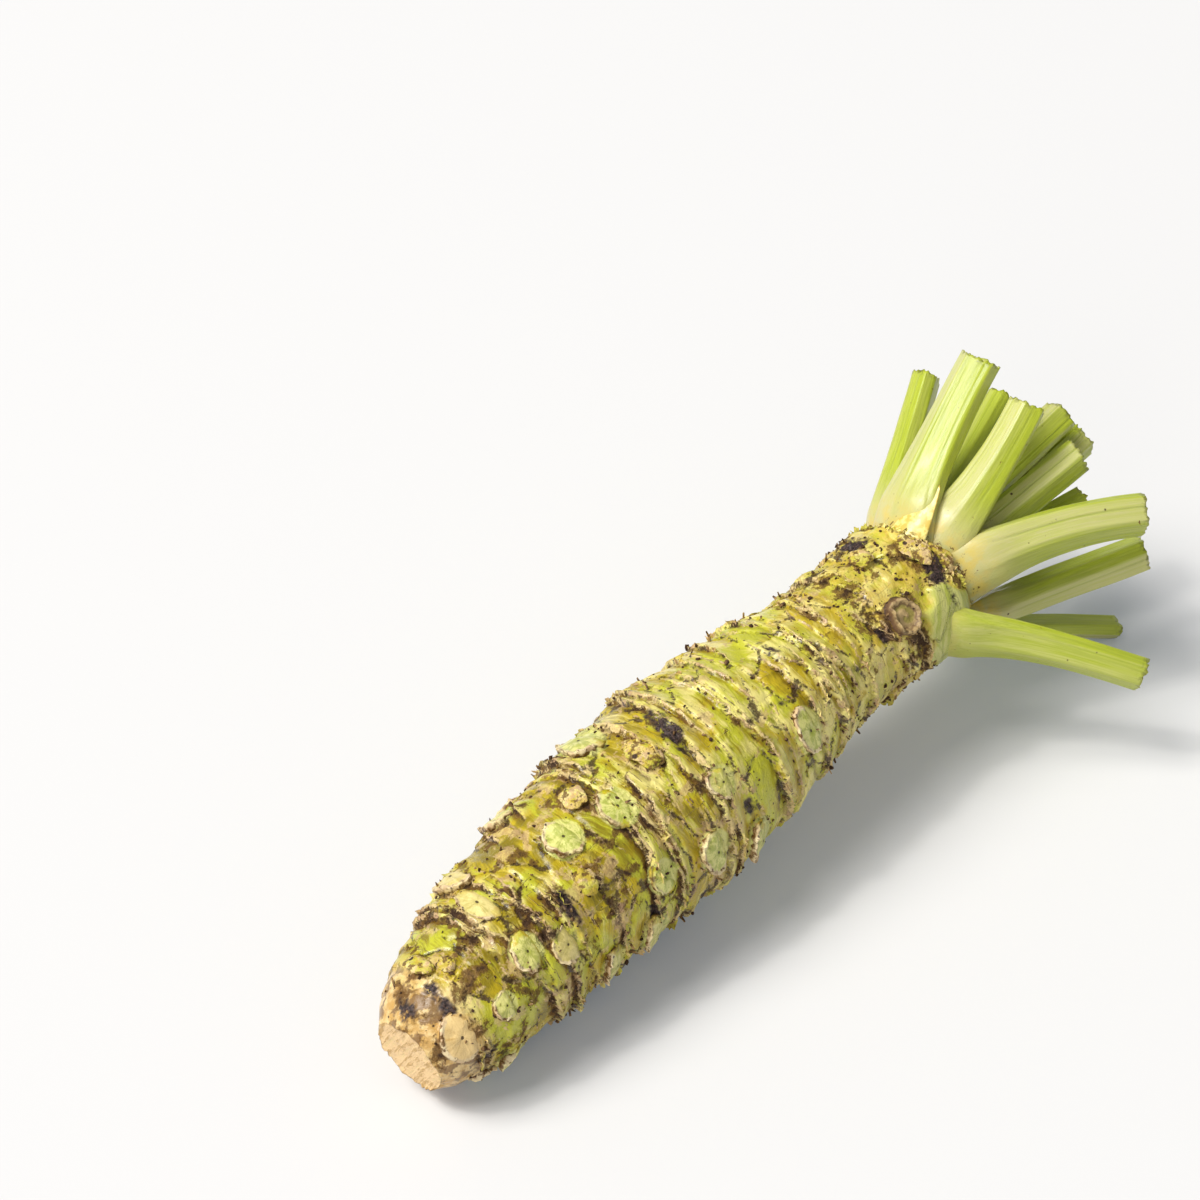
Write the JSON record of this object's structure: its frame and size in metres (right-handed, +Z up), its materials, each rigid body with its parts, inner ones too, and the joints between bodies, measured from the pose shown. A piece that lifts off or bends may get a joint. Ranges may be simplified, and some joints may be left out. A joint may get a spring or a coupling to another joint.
{
  "type": "wasabi root",
  "caption": "Fresh wasabi rhizome with its leaf stalks cut short, lying on its side: banded, scarred green skin, a flat cut tip and a fan of pale green stalks at the crown.",
  "frame": {"origin": "bottom centre of the whole plant's box, on the surface it lies on", "axes": "+X from the rhizome's cut tip towards the leaf crown along the surface, +Z up"},
  "size_m": [0.2014, 0.0778, 0.0728],
  "materials": {
    "rhizome_skin": "rough knobbly green skin with tan corky edges and dark soil specks",
    "leaf_stalk": "smooth ribbed pale green stalk, slightly shiny"
  },
  "bodies": {
    "root": {"rhizome": "rhizome_skin", "leaf_stalk_01": "leaf_stalk", "leaf_stalk_02": "leaf_stalk", "leaf_stalk_03": "leaf_stalk", "leaf_stalk_04": "leaf_stalk", "leaf_stalk_05": "leaf_stalk", "leaf_stalk_06": "leaf_stalk", "leaf_stalk_07": "leaf_stalk", "leaf_stalk_08": "leaf_stalk", "leaf_stalk_09": "leaf_stalk", "leaf_stalk_10": "leaf_stalk", "leaf_stalk_11": "leaf_stalk", "leaf_stalk_12": "leaf_stalk", "leaf_stalk_13": "leaf_stalk", "leaf_stalk_14": "leaf_stalk", "leaf_stalk_15": "leaf_stalk", "leaf_stalk_16": "leaf_stalk", "leaf_stalk_17": "leaf_stalk"}
  },
  "joints": []
}
